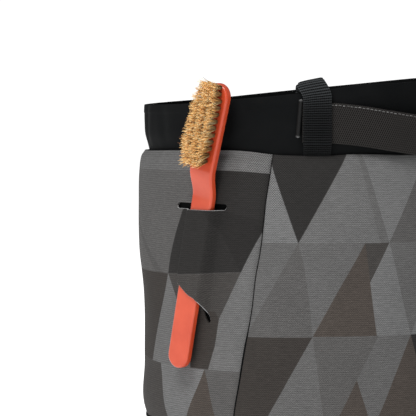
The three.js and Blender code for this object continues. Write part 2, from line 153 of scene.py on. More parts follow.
def new_mesh(name, corners, faces, place=None):
    """A smooth mesh. place is a place on the cloth for each corner, which the materials read."""
    mesh = bpy.data.meshes.new(name)
    mesh.from_pydata(corners, [], faces)
    if place is not None:
        attribute = mesh.attributes.new("cloth", "FLOAT_VECTOR", "POINT")
        attribute.data.foreach_set("vector", np.asarray(place, np.float32).ravel())
    shade_smooth(mesh)
    return mesh


def sheet_mesh(name, front, back, place=None, closed=False, is_hole=None, round_rim=0.0):
    """A sheet as a closed mesh: arrays of rows x columns x 3 for its front and back, joined round
    the rim and round each hole. A closed sheet's last column joins its first."""
    rows, columns = front.shape[:2]
    cell_columns = columns if closed else columns - 1

    def at(face, column, row):
        return (face * rows + row) * columns + column % columns

    def is_cell(column, row):
        if not 0 <= row < rows - 1 or not (closed or 0 <= column < cell_columns):
            return False
        return is_hole is None or not is_hole(column % cell_columns, row)

    faces = []
    rims = []
    for row in range(rows - 1):
        for column in range(cell_columns):
            if not is_cell(column, row):
                continue
            right, up = column + 1, row + 1
            outline = [(column, row), (right, row), (right, up), (column, up)]
            faces.append([at(0, *corner) for corner in outline])
            faces.append([at(1, *outline[index]) for index in (0, 3, 2, 1)])
            neighbours = [(column, row - 1), (right, row), (column, up), (column - 1, row)]
            for start, end, neighbour in zip(outline, outline[1:] + outline[:1], neighbours):
                if not is_cell(*neighbour):
                    rims.append([at(0, *end), at(0, *start), at(1, *start), at(1, *end)])
    corners = np.concatenate([front.reshape(-1, 3), back.reshape(-1, 3)]).tolist()
    if place is not None:
        place = np.concatenate([place.reshape(-1, 3)] * 2)
    mesh = new_mesh(name, corners, faces + rims, place)
    finish_sheet(mesh, rims, round_rim)
    return new_object(name, mesh)


def finish_sheet(mesh, rims, width):
    """Rounds the rims' edges and takes out the corners that no face uses."""
    bm = bmesh.new()
    bm.from_mesh(mesh)
    if width > 0:
        wanted = {frozenset(edge) for rim in rims for edge in (rim[:2], rim[2:])}
        edges = [e for e in bm.edges if frozenset(v.index for v in e.verts) in wanted]
        bmesh.ops.bevel(
            bm, geom=edges, offset=width, offset_type="OFFSET", segments=2, profile=0.5,
            affect="EDGES", clamp_overlap=True,
        )
    loose = [v for v in bm.verts if not v.link_faces]
    bmesh.ops.delete(bm, geom=loose, context="VERTS")
    bm.to_mesh(mesh)
    bm.free()
    shade_smooth(mesh)


def ring_faces(rings, sides, start=0):
    """The faces between rings of corners that follow one another."""
    faces = []
    for ring in range(rings - 1):
        low, high = start + ring * sides, start + (ring + 1) * sides
        for side in range(sides):
            beside = (side + 1) % sides
            faces.append((low + side, low + beside, high + beside, high + side))
    return faces


def rod_faces(rings, sides):
    """The faces of a rod made of rings of corners, with its two ends."""
    last = (rings - 1) * sides
    return ring_faces(rings, sides) + [range(sides)[::-1], range(last, last + sides)]


def tube_mesh(name, points, radius, sides=8):
    """A round tube through the points, with closed ends."""
    points = [Vector(point) for point in points]
    corners = []
    normal = None
    for index, point in enumerate(points):
        before, after = points[max(index - 1, 0)], points[min(index + 1, len(points) - 1)]
        along = (after - before).normalized()
        if normal is None:
            normal = along.orthogonal().normalized()
        normal = (normal - along * normal.dot(along)).normalized()
        side = along.cross(normal)
        for step in range(sides):
            turn = 2 * math.pi * step / sides
            outward = normal * math.cos(turn) + side * math.sin(turn)
            corners.append(point + outward * radius)
    return new_mesh(name, corners, rod_faces(len(points), sides))


def joined(name, meshes):
    """One object of many meshes."""
    bm = bmesh.new()
    for mesh in meshes:
        bm.from_mesh(mesh)
        bpy.data.meshes.remove(mesh)
    whole = bpy.data.meshes.new(name)
    bm.to_mesh(whole)
    bm.free()
    shade_smooth(whole)
    return new_object(name, whole)


def place_piece(piece, body, slot, material, *nodes):
    """Puts a piece on its body, with its material, in place of the CAD nodes that it stands for."""
    piece.data.materials.append(material)
    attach(piece, body)
    if nodes:
        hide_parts(*nodes)
    return piece


# Materials


class Nodes:
    """A material's nodes, made one line at a time."""

    def __init__(self, name):
        self.material = bpy.data.materials.new(name)
        self.material.use_nodes = True
        self.tree = self.material.node_tree
        self.shader = self.tree.nodes["Principled BSDF"]

    def add(self, kind, inputs=(), **settings):
        node = self.tree.nodes.new("ShaderNode" + kind)
        for key, value in settings.items():
            setattr(node, key, value)
        for key, value in dict(inputs).items():
            self.feed(node.inputs[key], value)
        return node

    def feed(self, socket, value):
        if isinstance(value, bpy.types.NodeSocket):
            self.tree.links.new(value, socket)
        else:
            socket.default_value = value

    def math(self, operation, *values, clamp=False):
        node = self.add("Math", operation=operation, use_clamp=clamp)
        for socket, value in zip(node.inputs, values):
            self.feed(socket, value)
        return node.outputs[0]

    def cloth_place(self):
        return self.add("Attribute", attribute_name="cloth").outputs["Vector"]

    def object_place(self):
        return self.add("TexCoord").outputs["Object"]

    def split(self, vector):
        node = self.add("SeparateXYZ", {"Vector": vector})
        return node.outputs["X"], node.outputs["Y"], node.outputs["Z"]

    def combine(self, x, y, z=0.0):
        return self.add("CombineXYZ", {"X": x, "Y": y, "Z": z}).outputs[0]

    def noise(self, vector, scale, detail=2.0, roughness=0.5):
        node = self.add(
            "TexNoise",
            {"Vector": vector, "Scale": scale, "Detail": detail, "Roughness": roughness},
        )
        return node.outputs["Fac"]

    def ramp(self, factor, stops, interpolation="LINEAR"):
        node = self.add("ValToRGB", {"Fac": factor})
        node.color_ramp.interpolation = interpolation
        elements = node.color_ramp.elements
        while len(elements) < len(stops):
            elements.new(0.5)
        for element, (position, color) in zip(elements, stops):
            element.position = position
            element.color = (*color, 1)
        return node.outputs["Color"]

    def mix(self, factor, first, second, blend="MIX"):
        node = self.add("Mix", data_type="RGBA", blend_type=blend)
        self.feed(node.inputs["Factor"], factor)
        self.feed(node.inputs[6], first)
        self.feed(node.inputs[7], second)
        return node.outputs[2]

    def shade(self, color, factor):
        return self.mix(1.0, color, self.combine(factor, factor, factor), "MULTIPLY")

    def range(self, value, from_low, from_high, to_low, to_high):
        node = self.add("MapRange", {
            "Value": value, "From Min": from_low, "From Max": from_high,
            "To Min": to_low, "To Max": to_high,
        })
        return node.outputs["Result"]

    def wave(self, place, pitch, kind="SINE"):
        return self.math(kind, self.math("MULTIPLY", place, 2 * math.pi / pitch))

    def bump(self, height, distance, strength=1.0, normal=None):
        inputs = {"Height": height, "Distance": distance, "Strength": strength}
        node = self.add("Bump", inputs)
        if normal is not None:
            self.feed(node.inputs["Normal"], normal)
        return node.outputs["Normal"]

    def surface(self, color, roughness, normal=None, **others):
        values = {"Base Color": color, "Roughness": roughness, **others}
        if normal is not None:
            values["Normal"] = normal
        for key, value in values.items():
            self.feed(self.shader.inputs[key.replace("_", " ")], value)
        return self.material


def grey(level, warmth=0.0):
    """A nearly grey linear colour from a 0 to 255 screen level. Warmth turns it to brown, and to
    blue where it is below 0."""
    return tuple((max(0, level + shift * warmth) / 255) ** 2.2 for shift in (1.0, -0.1, -0.9))


def rgba(color):
    return (*color, 1.0)


def print_polygon(nodes, place, corners):
    """1 inside a convex outline of places on the cloth, listed against the clock, else 0."""
    inside = None
    edge_sharpness = 1.6  # per millimetre
    for (x0, y0), (x1, y1) in zip(corners, corners[1:] + corners[:1]):
        inward = (y0 - y1, (x1 - x0) * WALL_DEGREE)
        length = math.hypot(*inward)
        across, up = inward[0] / length * WALL_DEGREE, inward[1] / length
        weights = (across, up, -(across * x0 + up * y0))
        dot = nodes.add("VectorMath", operation="DOT_PRODUCT")
        nodes.feed(dot.inputs[0], place)
        nodes.feed(dot.inputs[1], weights)
        side = nodes.math("MULTIPLY_ADD", dot.outputs["Value"], edge_sharpness, 0.5, clamp=True)
        inside = side if inside is None else nodes.math("MINIMUM", inside, side)
    return inside


# The printed cloth's weave, in millimetres of cloth
THREAD = 0.82
CLOTH_RIB = 1.42
TIGHT_SPOT = (-28.0, 180.0, 0.0)
TIGHT_REACH = (36, 64)
CHEQUER_TIGHT = 3.6
CHEQUER_LOOSE = 0.9
RIB_SHARE = 0.55

# How far each unevenness of the printed cloth makes it paler and darker
WEAVE_CONTRAST = 0.6
FLECK_CONTRAST = 0.28
SLUB_CONTRAST = 0.14
PATCH_CONTRAST = 0.05


def weave_detail(nodes, along, up):
    """The printed cloth's plain weave as a height from 0 to 1: ribs over all of it, and a
    chequer of single threads that shows most where the cloth is tight, at the seam's top."""
    rib = nodes.wave(up, CLOTH_RIB)
    chequer = nodes.math("MULTIPLY", nodes.wave(along, 2 * THREAD), nodes.wave(up, 2 * THREAD))
    cloth = nodes.combine(along, up)
    from_tight = nodes.add("VectorMath", operation="DISTANCE")
    nodes.feed(from_tight.inputs[0], cloth)
    nodes.feed(from_tight.inputs[1], TIGHT_SPOT)
    patch = nodes.noise(cloth, 0.07)
    reach = nodes.math("MULTIPLY_ADD", patch, 60, from_tight.outputs["Value"])
    tight = nodes.range(reach, *TIGHT_REACH, CHEQUER_TIGHT, CHEQUER_LOOSE)
    both = nodes.math("MULTIPLY_ADD", chequer, tight, nodes.math("MULTIPLY", rib, RIB_SHARE))
    return nodes.range(both, -2, 2, 0, 1)


def printed_cloth(name, chart, row_foot):
    """Cloth printed with large triangles. The chart lists tones and outlines in paint order, and
    rows of the same kind of triangles go round the part that the chart leaves out."""
    nodes = Nodes(name)
    angle, height, _ = nodes.split(nodes.cloth_place())
    flat = nodes.combine(angle, height, 1.0)
    color = lattice_tone(nodes, angle, height, row_foot)
    for tone, corners in chart:
        color = nodes.mix(print_polygon(nodes, flat, corners), color, rgba(tone))
    along = nodes.math("MULTIPLY", angle, WALL_DEGREE)
    cloth = nodes.combine(along, height)
    weave = weave_detail(nodes, along, height)
    fleck = nodes.noise(cloth, 1.5, 2.0, 0.7)
    long_grain = nodes.combine(nodes.math("MULTIPLY", along, 0.2), height)
    slub = nodes.noise(long_grain, 0.9, 2.0, 0.6)
    patch = nodes.noise(cloth, 0.035)
    shade = nodes.range(weave, 0, 1, 1 - WEAVE_CONTRAST, 1 + WEAVE_CONTRAST)
    for uneven, contrast in (
        (fleck, FLECK_CONTRAST), (slub, SLUB_CONTRAST), (patch, PATCH_CONTRAST),
    ):
        level = nodes.range(uneven, 0.3, 0.7, 1 - contrast, 1 + contrast)
        shade = nodes.math("MULTIPLY", shade, level)
    color = nodes.shade(color, shade)
    normal = nodes.bump(weave, 0.14 * MM, 0.55)
    normal = nodes.bump(fleck, 0.2 * MM, 0.35, normal)
    return nodes.surface(color, 0.9, normal, Specular_IOR_Level=0.2)


# The print's rows of triangles: each triangle's width in degrees, each row's height in millimetres,
# the angle of one apex, and how far its two kinds of slanted edge go in a row, in triangles
TRIANGLE_TURN = 24.0
ROW_HEIGHT = 63.2
APEX_ANGLE = -4.2
RISING_SLANT = -0.61
FALLING_SLANT = 0.39


def lattice_tone(nodes, angle, height, foot):
    """Rows of triangles round the bag, each in one of the print's tones."""
    row_place = nodes.math("DIVIDE", nodes.math("SUBTRACT", height, foot), ROW_HEIGHT)
    start = nodes.math("DIVIDE", nodes.math("SUBTRACT", angle, APEX_ANGLE), TRIANGLE_TURN)
    rising, falling = (
        nodes.math("FLOOR", nodes.math("MULTIPLY_ADD", row_place, slant, start))
        for slant in (RISING_SLANT, FALLING_SLANT)
    )
    row = nodes.math("MULTIPLY", nodes.math("FLOOR", row_place), 7.0)
    cell = nodes.combine(rising, falling, row)
    pick = nodes.add("TexWhiteNoise", {"Vector": cell}, noise_dimensions="3D")
    stops = [(0.0, DARK), (0.22, LIGHT), (0.42, MIDDLE), (0.58, TAUPE), (0.74, BRIGHT), (0.9, DIM)]
    return nodes.ramp(pick.outputs["Value"], stops, "CONSTANT")


# The print's tones
BRIGHT = grey(99)
PALE = grey(93, 0.3)
LIGHT = grey(87, 0.5)
MIDDLE = grey(79, 1)
SMOKE = grey(73, 1)
DIM = grey(60, 2)
TAUPE = grey(64, 5)
UMBER = grey(51, 3)
DARK = grey(41, 1)
SHADE = grey(38, 1)

# The print in view, in paint order: tone, outline as angle and height in millimetres
FRONT_CHART = [
    (BRIGHT, [(-30, 131.8), (-4.2, 131.8), (12, 200), (-30, 200)]),
    (DARK, [(-4.2, 131.8), (13.6, 200), (-15.5, 200)]),
    (PALE, [(-4.2, 131.8), (22, 131.8), (13.6, 200)]),
    (LIGHT, [(-32, 67.5), (-21, 67.5), (-4.2, 131.8), (-32, 131.8)]),
    (LIGHT, [(0.3, 69), (17, 131.8), (-4.2, 131.8)]),
    (MIDDLE, [(-22, 67.5), (0.3, 69), (-0.2, 82.4), (-1.2, 99.7), (-2.6, 119.7), (-4.2, 131.8)]),
    (TAUPE, [(0.3, 69), (21.5, 69), (17, 131.8)]),
    (UMBER, [(-40, 0), (-18, 0), (0.3, 68.8), (-40, 67)]),
    (LIGHT, [(-18, 0), (5, 0), (0.3, 68.8)]),
    (MIDDLE, [(5, 0), (22, 69), (0.3, 69)]),
]
BRUSH_CHART = [
    (PALE, [(-110, 44), (-18, 44), (-8, 210), (-110, 210)]),
    (MIDDLE, [(-110, 106.5), (-55.2, 107.3), (-40.5, 177.6), (-110, 177.6)]),
    (SMOKE, [(-64, 107), (-58.5, 107.2), (-88, 156)]),
    (DARK, [(-55.2, 107.3), (-22.9, 111.6), (-5.8, 177.6), (-40.5, 177.6)]),
    (SHADE, [(-22.9, 111.6), (-14, 146), (-34, 155)]),
    (MIDDLE, [(-60, 157), (-37, 157), (-33.5, 177.6), (-60, 177.6)]),
    (LIGHT, [(-110, 177.6), (-43, 177.6), (-38, 210), (-110, 210)]),
    (DIM, [(-55.2, 107.3), (-44, 60), (-36.5, 60), (-22.9, 111.6)]),
    (UMBER, [(-110, 44), (-70, 44), (-55.2, 107.3), (-110, 106.5)]),
    (UMBER, [(-50, 44), (-36, 44), (-33.2, 60), (-31.5, 79), (-33, 84), (-50, 84)]),
    (PALE, [(-70, 44), (-44, 44), (-44, 62), (-55.2, 107.3)]),
    (DIM, [(-101, 106.8), (-91, 177.6), (-111, 177.6)]),
    (LIGHT, [(-112, 44), (-91, 44), (-101, 106.8)]),
]

# Where the rows of triangles start round the rest of each panel, in millimetres
FRONT_ROW_FOOT = 5.5
BRUSH_ROW_FOOT = -19.2


def black_cloth(name, level):
    """Plain black nylon with a fine weave and rubbed, chalky patches."""
    nodes = Nodes(name)
    coordinate = nodes.object_place()
    weave = nodes.noise(coordinate, 2600, 2.0, 0.6)
    wear = nodes.noise(coordinate, 34, 3.0, 0.6)
    color = nodes.ramp(wear, [(0.35, grey(level, -1)), (0.75, grey(level + 6, -0.6))])
    normal = nodes.bump(weave, 0.1 * MM, 0.35)
    normal = nodes.bump(wear, 1.2 * MM, 0.3, normal)
    roughness = nodes.range(wear, 0.3, 0.7, 0.7, 0.85)
    return nodes.surface(color, roughness, normal, Specular_IOR_Level=0.06)


def webbing(name, level, warmth, across_pitch, up_pitch, stagger, contrast):
    """Woven webbing: cross ribs cut by the lines of its warp, with a painted highlight that
    lightens it where it bends over the top. The pitches are in millimetres. Stagger is the share of
    a rib's pitch that each line shifts the ribs, and contrast darkens the grooves."""
    nodes = Nodes(name)
    across, up, bend_highlight = nodes.split(nodes.cloth_place())
    warp = nodes.wave(across, across_pitch, "COSINE")
    row = nodes.math("FLOOR", nodes.math("DIVIDE", across, across_pitch))
    weft = nodes.wave(nodes.math("MULTIPLY_ADD", row, up_pitch * stagger, up), up_pitch, "COSINE")
    height = nodes.range(nodes.math("MULTIPLY_ADD", warp, 0.5, weft), -1.5, 1.5, 0, 1)
    fleck = nodes.noise(nodes.combine(across, up), 2.2, 2.0, 0.6)
    tone = nodes.math("MULTIPLY_ADD", fleck, 0.35, nodes.math("MULTIPLY", height, 0.75))
    groove, ridge = grey(level * (1 - contrast), warmth), grey(level * (1 + contrast), warmth)
    color = nodes.ramp(tone, [(0.3, groove), (0.75, ridge)])
    # Painted highlight: the colour is lightened up to 4.6 times where the webbing bends over the
    # top, as if lit from above.
    color = nodes.shade(color, nodes.math("MULTIPLY_ADD", bend_highlight, 3.6, 1.0))
    normal = nodes.bump(height, 0.35 * MM, 0.7)
    normal = nodes.bump(fleck, 0.15 * MM, 0.3, normal)
    return nodes.surface(color, 0.85, normal, Specular_IOR_Level=0.1)


def rod_cover():
    """The strap end's black cover, with a painted highlight that turns its two rounded ends pale.
    """
    nodes = Nodes("rod_cover")
    _, height, _ = nodes.split(nodes.cloth_place())
    grain = nodes.noise(nodes.object_place(), 1200)
    reach = nodes.math("MULTIPLY_ADD", grain, 1.2, nodes.math("ABSOLUTE", height))
    half = ROD_LENGTH / 2 / MM
    # Painted highlight: the cover's colour goes from black to pale grey at both rounded ends, as if
    # they caught the light.
    end = nodes.range(reach, half - 1.2, half + 0.2, 0, 1)
    color = nodes.mix(end, rgba(grey(20)), rgba(grey(92)))
    normal = nodes.bump(grain, 0.15 * MM, 0.4)
    return nodes.surface(color, 0.6, normal, Specular_IOR_Level=0.2)


def orange_plastic():
    """Moulded orange-red plastic with a soft gloss, fine scratches and a little chalk dust."""
    nodes = Nodes("orange_plastic")
    coordinate = nodes.object_place()
    cloud = nodes.noise(coordinate, 55, 3.0, 0.55)
    color = nodes.ramp(cloud, [(0.3, (0.5, 0.05, 0.014)), (0.75, (0.6, 0.078, 0.028))])
    lengthwise = nodes.add("Mapping", {"Vector": coordinate, "Scale": (900, 900, 60)})
    scratch = nodes.noise(lengthwise.outputs[0], 1.0)
    normal = nodes.bump(scratch, 0.015 * MM, 0.2)
    normal = nodes.bump(cloud, 0.3 * MM, 0.2, normal)
    roughness = nodes.range(scratch, 0.3, 0.75, 0.28, 0.4)
    return nodes.surface(
        color, roughness, normal, Specular_IOR_Level=0.35, Coat_Weight=0.3, Coat_Roughness=0.12
    )


def bristle_hair():
    """Natural boar bristle: each strand has its own tone, with painted shade that darkens it
    towards its root, deep in the tuft.
    """
    nodes = Nodes("boar_bristle")
    tone, length, _ = nodes.split(nodes.cloth_place())
    strand = nodes.ramp(tone, [
        (0.0, (0.1, 0.035, 0.01)), (0.16, (0.42, 0.18, 0.045)), (0.42, (0.84, 0.44, 0.13)),
        (0.7, (0.97, 0.63, 0.24)), (1.0, (1.0, 0.86, 0.52)),
    ])
    # Painted shade: each strand darkens to a fifth of its tone towards its root, where the tuft is
    # dense.
    color = nodes.shade(strand, nodes.range(length, 0.05, 0.8, 0.2, 1.0))
    return nodes.surface(color, 0.5)


def fibre(name, scale, stops, depth, roughness):
    """Pale thread or a cut edge of cloth, rubbed dark in places."""
    nodes = Nodes(name)
    rubbed = nodes.noise(nodes.object_place(), scale)
    normal = nodes.bump(rubbed, depth, 0.5)
    return nodes.surface(nodes.ramp(rubbed, stops), roughness, normal)


# The printed wall, from the front seam round the right side and the back

# Slow waves of the cloth: waves round the bag, start, turn for each metre up, millimetres
CLOTH_WAVES = [(3, 1.1, 14, 0.45), (7, 2.3, -31, 0.3), (13, 0.4, 47, 0.22)]

# The cloth's fullness at the far left: angle, width in degrees, millimetres
FULL_ANGLE = -86
FULL_WIDTH = 14
FULLNESS = 1.2


def cloth_wave(angle, height):
    """Slow dents and swells of the cloth, and its fullness at the far left, in metres."""
    wave = sum(
        depth * np.sin(count * np.radians(angle) + start + climb * height)
        for count, start, climb, depth in CLOTH_WAVES
    )
    share = wall_share(height)
    fullness = FULLNESS * bump_at(angle, FULL_ANGLE, FULL_WIDTH) * smooth_step(0.35, 0.6, share)
    return (wave * smooth_step(0.0, 0.25, share) + fullness) * MM


def seam_valley(angle, edge):
    """How far the cloth sinks beside a seam at an angle, in metres."""
    away = np.radians(np.abs(angle - edge)) * WALL_WIDEST / MM
    return (1.5 * np.exp(-((away / 1.6) ** 1.3)) + 0.5 * bump_at(away, 0, 7)) * MM


def outer_wall():
    columns, rows = 420, 110
    height = spaced(rows, WALL_FOOT, WALL_TOP, -0.06)[:, None]
    start = seam_angle(height) + SEAM_GAP
    end = SIDE_SEAM + 360
    angle = start + (end - SEAM_GAP - start) * np.linspace(0, 1, columns)[None, :]
    radius = wall_radius(height) + cloth_wave(angle, height)
    radius = radius - seam_valley(angle, start) - seam_valley(angle, end)
    height = height + rim_lift(angle, height)
    front = around(angle, radius, height)
    back = around(angle, radius - WALL_THICKNESS, height)
    place = points_at(angle, height / MM)
    piece = sheet_mesh("printed_wall", front, back, place, round_rim=0.5 * MM)
    material = printed_cloth("printed_wall", FRONT_CHART, FRONT_ROW_FOOT)
    return place_piece(piece, "bag", "printed_cloth", material, "outer_wall")


# The brush stands on its own axes: its handle's back lies on a plane that faces out of the bag

BRUSH_ANGLE = -39
BRUSH_TILT = math.radians(11.5)
BRUSH_PLANE = WALL_WIDEST + GAP
HANDLE_WIDTH = 17.8 * MM
HANDLE_THICKNESS = 5.4 * MM
SLOT_GAP = 4.2 * MM
SLOT_TOP = WALL_TOP - 32.8 * MM
SLOT_MIDDLE = SLOT_TOP - SLOT_GAP / 2
SLEEVE_LENGTH = 48.7 * MM
SLIT_LEFT = SLOT_TOP - SLOT_GAP - SLEEVE_LENGTH
SLIT_GAP = 4 * MM
SLIT_FALL = 24.3 * MM
SLEEVE_FLAT = HANDLE_WIDTH / 2 + 0.6 * MM
SLEEVE_FOOT = SLEEVE_FLAT + 6.8 * MM
SLOT_START = -SLEEVE_FOOT - 11 * MM
MOUTH_END = SLEEVE_FOOT + 1.4 * MM
BRUSH_HEIGHT = SLIT_LEFT + 0.32 * SLEEVE_LENGTH
CUT_STEP = 0.5 * MM
BRUSH_OUT = around(BRUSH_ANGLE, 1, 0)
BRUSH_SIDE = around(BRUSH_ANGLE + 90, 1, 0)


def brush_matrix():
    """From the brush's own axes (across, along, out) to the frame."""
    up = np.array([0, 0, 1.0])
    along = up * math.cos(BRUSH_TILT) + BRUSH_SIDE * math.sin(BRUSH_TILT)
    across = BRUSH_SIDE * math.cos(BRUSH_TILT) - up * math.sin(BRUSH_TILT)
    matrix = Matrix([list(across), list(along), list(BRUSH_OUT)]).transposed().to_4x4()
    matrix.translation = Vector(BRUSH_OUT * BRUSH_PLANE + up * BRUSH_HEIGHT)
    return matrix


def angle_beside(beside, height):
    """The wall's angle at a distance beside the handle's middle line."""
    across = (height - BRUSH_HEIGHT) * math.tan(BRUSH_TILT) + beside
    return BRUSH_ANGLE + np.degrees(np.arctan(across / WALL_WIDEST))


def mouth_gap(beside, start, gap):
    """How far a cut with round ends stands open at a place along it."""
    end = np.clip(np.minimum(beside - start, MOUTH_END - beside) / (gap / 2), 0, 1)
    return np.maximum(gap * np.sqrt(1 - (1 - end) ** 2), 0.25 * MM)


def slot_lips(beside):
    """The heights of the slot's lower and upper lip."""
    half = mouth_gap(beside, SLOT_START, SLOT_GAP) / 2
    return SLOT_MIDDLE - half, SLOT_MIDDLE + half


def slit_lips(beside):
    """The heights of the slit's lower and upper lip. The handle pulls both up, and the lower one
    hangs open beside it."""
    share = np.clip((beside + SLEEVE_FOOT) / (MOUTH_END + SLEEVE_FOOT), -0.06, 1.06)
    pulled_up = 3.8 + 2.2 * bump_at(beside, 9 * MM, 5 * MM)
    pulled_up = pulled_up - 4 * smooth_step(10 * MM, 17 * MM, beside)
    middle = SLIT_LEFT - SLIT_GAP / 2 - SLIT_FALL * share + pulled_up * MM
    sag = 3.6 * MM * bump_at(beside, 11.5 * MM, 4.5 * MM)
    half = mouth_gap(beside, -SLEEVE_FOOT, SLIT_GAP) / 2
    return middle - half - sag, middle + half


def panel_point(angle, height, rise, inset=0.0):
    """A place on the brush's panel. rise is 1 where the cloth lies over the handle."""
    radius = wall_radius(height) + cloth_wave(angle, height) - inset
    radius = radius - seam_valley(angle, seam_angle(height)) - seam_valley(angle, SIDE_SEAM)
    on_wall = around(angle, radius, height)
    over_handle = BRUSH_PLANE + HANDLE_THICKNESS + GAP + WALL_THICKNESS - inset
    lift = (over_handle - on_wall @ BRUSH_OUT) * rise
    return on_wall + lift[..., None] * BRUSH_OUT


def sleeve_rise(beside):
    """How far the cloth rises towards the handle: 1 over it, 0 beyond the sleeve's foot."""
    slope = np.clip((np.abs(beside) - SLEEVE_FLAT) / (SLEEVE_FOOT - SLEEVE_FLAT), 0, 1)
    return 1 - 0.25 * slope - 0.75 * smooth_step(0, 1, slope)


def brush_panel():
    left_count, right_count = 110, 16
    beside = np.arange(SLOT_START - 2 * MM, MOUTH_END + 2 * MM, CUT_STEP)
    right_start = left_count + len(beside)
    column = np.arange(right_start + right_count)
    place = beside[np.clip(column - left_count, 0, len(beside) - 1)][None, :]

    # From the foot up: rows, lower edge, upper edge, and 1 where the cloth lies over the handle
    slit_low, slit_high = slit_lips(place)
    slot_low, slot_high = slot_lips(place)
    parts = [
        (60, WALL_FOOT, slit_low, 0),
        (46, slit_high, slot_low, 1),
        (30, slot_high, WALL_TOP, 0),
    ]
    height = np.concatenate([
        low + (high - low) * spaced(rows, 0, 1)[:, None] for rows, low, high, _ in parts
    ])
    rise = np.concatenate([
        np.repeat(raised * sleeve_rise(place), rows, axis=0) for rows, _, _, raised in parts
    ])
    slit_row = parts[0][0] - 1
    slot_row = slit_row + parts[1][0]

    angle = angle_beside(place, height)
    left_share = np.clip(column / left_count, 0, 1)[None, :]
    right_share = np.clip((column - right_start + 1) / right_count, 0, 1)[None, :]
    side = SIDE_SEAM + SEAM_GAP
    edge = seam_angle(height) - SEAM_GAP
    angle = np.where(left_share < 1, side + (angle - side) * left_share, angle)
    angle = np.where(right_share > 0, angle + (edge - angle) * right_share, angle)
    raised = height + rim_lift(angle, height)

    def is_hole(column, row):
        if not left_count <= column < right_start - 1:
            return False
        centre = beside[column - left_count] + CUT_STEP / 2
        start = {slot_row: SLOT_START, slit_row: -SLEEVE_FOOT}.get(row, MOUTH_END)
        return start < centre < MOUTH_END

    front = panel_point(angle, raised, rise)
    back = panel_point(angle, raised, rise, WALL_THICKNESS)
    cloth = points_at(angle, height / MM)
    piece = sheet_mesh("brush_sleeve_wall", front, back, cloth, is_hole=is_hole, round_rim=0.4 * MM)
    material = printed_cloth("brush_panel_cloth", BRUSH_CHART, BRUSH_ROW_FOOT)
    return place_piece(piece, "bag", "printed_cloth", material, "brush_panel")


def mouth_edges():
    """The pale cut edges along the slot's lower lip and the slit's upper lip."""
    inset, radius = 0.4 * MM, 0.26 * MM
    meshes = []
    for name, start, lips, lip in (
        ("slot_edge", SLOT_START, slot_lips, 0), ("slit_edge", -SLEEVE_FOOT, slit_lips, 1),
    ):
        beside = np.arange(start, MOUTH_END + 0.01 * MM, CUT_STEP)
        height = lips(beside)[lip]
        points = panel_point(angle_beside(beside, height), height, sleeve_rise(beside), inset)
        meshes.append(tube_mesh(name, points, radius))
    stops = [(0.3, grey(120)), (0.7, grey(165))]
    material = fibre("cut_edge", 1500, stops, depth=0.15 * MM, roughness=0.9)
    return place_piece(joined("cut_edges", meshes), "bag", "printed_cloth", material)


# The black collar

COLLAR_FOOT = 115.9 * MM
COLLAR_FLARE = 3.3 * MM
COLLAR_THICKNESS = 1.6 * MM
COLLAR_TUCK = 12 * MM
COLLAR_OUTLINE = [(-0.4, 0), (0, 0), (0.15, 0.35), (0.35, 0.85), (0.6, 1), (0.9, 1), (1, 0.93)]
COLLAR_LEFT_RISE = 33 * MM
COLLAR_RIGHT_RISE = 54 * MM
COLLAR_MEAN_RISE = 43 * MM

# The soft waves of the collar's top edge: angle, width in degrees, millimetres
COLLAR_WAVES = [(-42, 22, -1.4), (-12, 12, -0.9), (17, 9, 1.3), (140, 20, 0.8), (215, 24, -0.9)]

# The collar's soft folds: angle at the foot, degrees of lean to the top, width, millimetres
COLLAR_FOLDS = [
    (-79, 3, 2.6, -1.5), (-73, 4, 3.0, 0.8), (-58, -3, 3.4, -0.9), (-33, 6, 4, -0.6),
    (24, -8, 3.5, -0.7), (118, 0, 4, -0.9), (205, 5, 4, -0.8), (246, 0, 3, -0.6),
]


def collar_rise(angle):
    """The collar rises from the left to the right."""
    share = (1 + np.sin(np.radians(angle))) / 2
    return COLLAR_LEFT_RISE + (COLLAR_RIGHT_RISE - COLLAR_LEFT_RISE) * share


def collar_wave(angle):
    return sum(lift * bump_at(angle, centre, width) for centre, width, lift in COLLAR_WAVES) * MM


def collar_radius(angle, height):
    share = (height - WALL_TOP) / collar_rise(angle)
    return COLLAR_FOOT + COLLAR_FLARE * smooth_table(COLLAR_OUTLINE, share)


def collar_crease(angle, share):
    """The collar's own waves and folds, in metres."""
    turn = np.radians(angle)
    waves = 0.35 * np.sin(5 * turn + 0.7 + share) + 0.25 * np.sin(11 * turn - 1.9 * share)
    folds = sum(
        depth * bump_at(angle, foot + lean * share, width)
        for foot, lean, width, depth in COLLAR_FOLDS
    )
    return (waves + folds) * MM * smooth_step(0.02, 0.5, share)


def collar():
    columns, rows = 540, 60
    angle = np.linspace(-180, 180, columns, endpoint=False)[None, :]
    share = np.linspace(-COLLAR_TUCK / COLLAR_MEAN_RISE, 1, rows)[:, None]
    turned = np.where(angle < SIDE_SEAM, angle + 360, angle)
    rise = collar_rise(angle) + collar_wave(turned)
    height = WALL_TOP + share * np.where(share < 0, COLLAR_MEAN_RISE, rise)
    radius = collar_radius(angle, height) + collar_crease(turned, share)
    hem = 0.35 * MM * smooth_step(0.8, 0.84, share)
    front = around(angle, radius + hem, height)
    back = around(angle, radius - COLLAR_THICKNESS - hem, height)
    piece = sheet_mesh("collar_cloth", front, back, closed=True, round_rim=0.7 * MM)
    return place_piece(piece, "bag", "black_nylon", black_cloth("black_nylon", 19), "collar")


# Lining and base

QUARTER_TURN = np.linspace(0, math.pi / 2, 7)


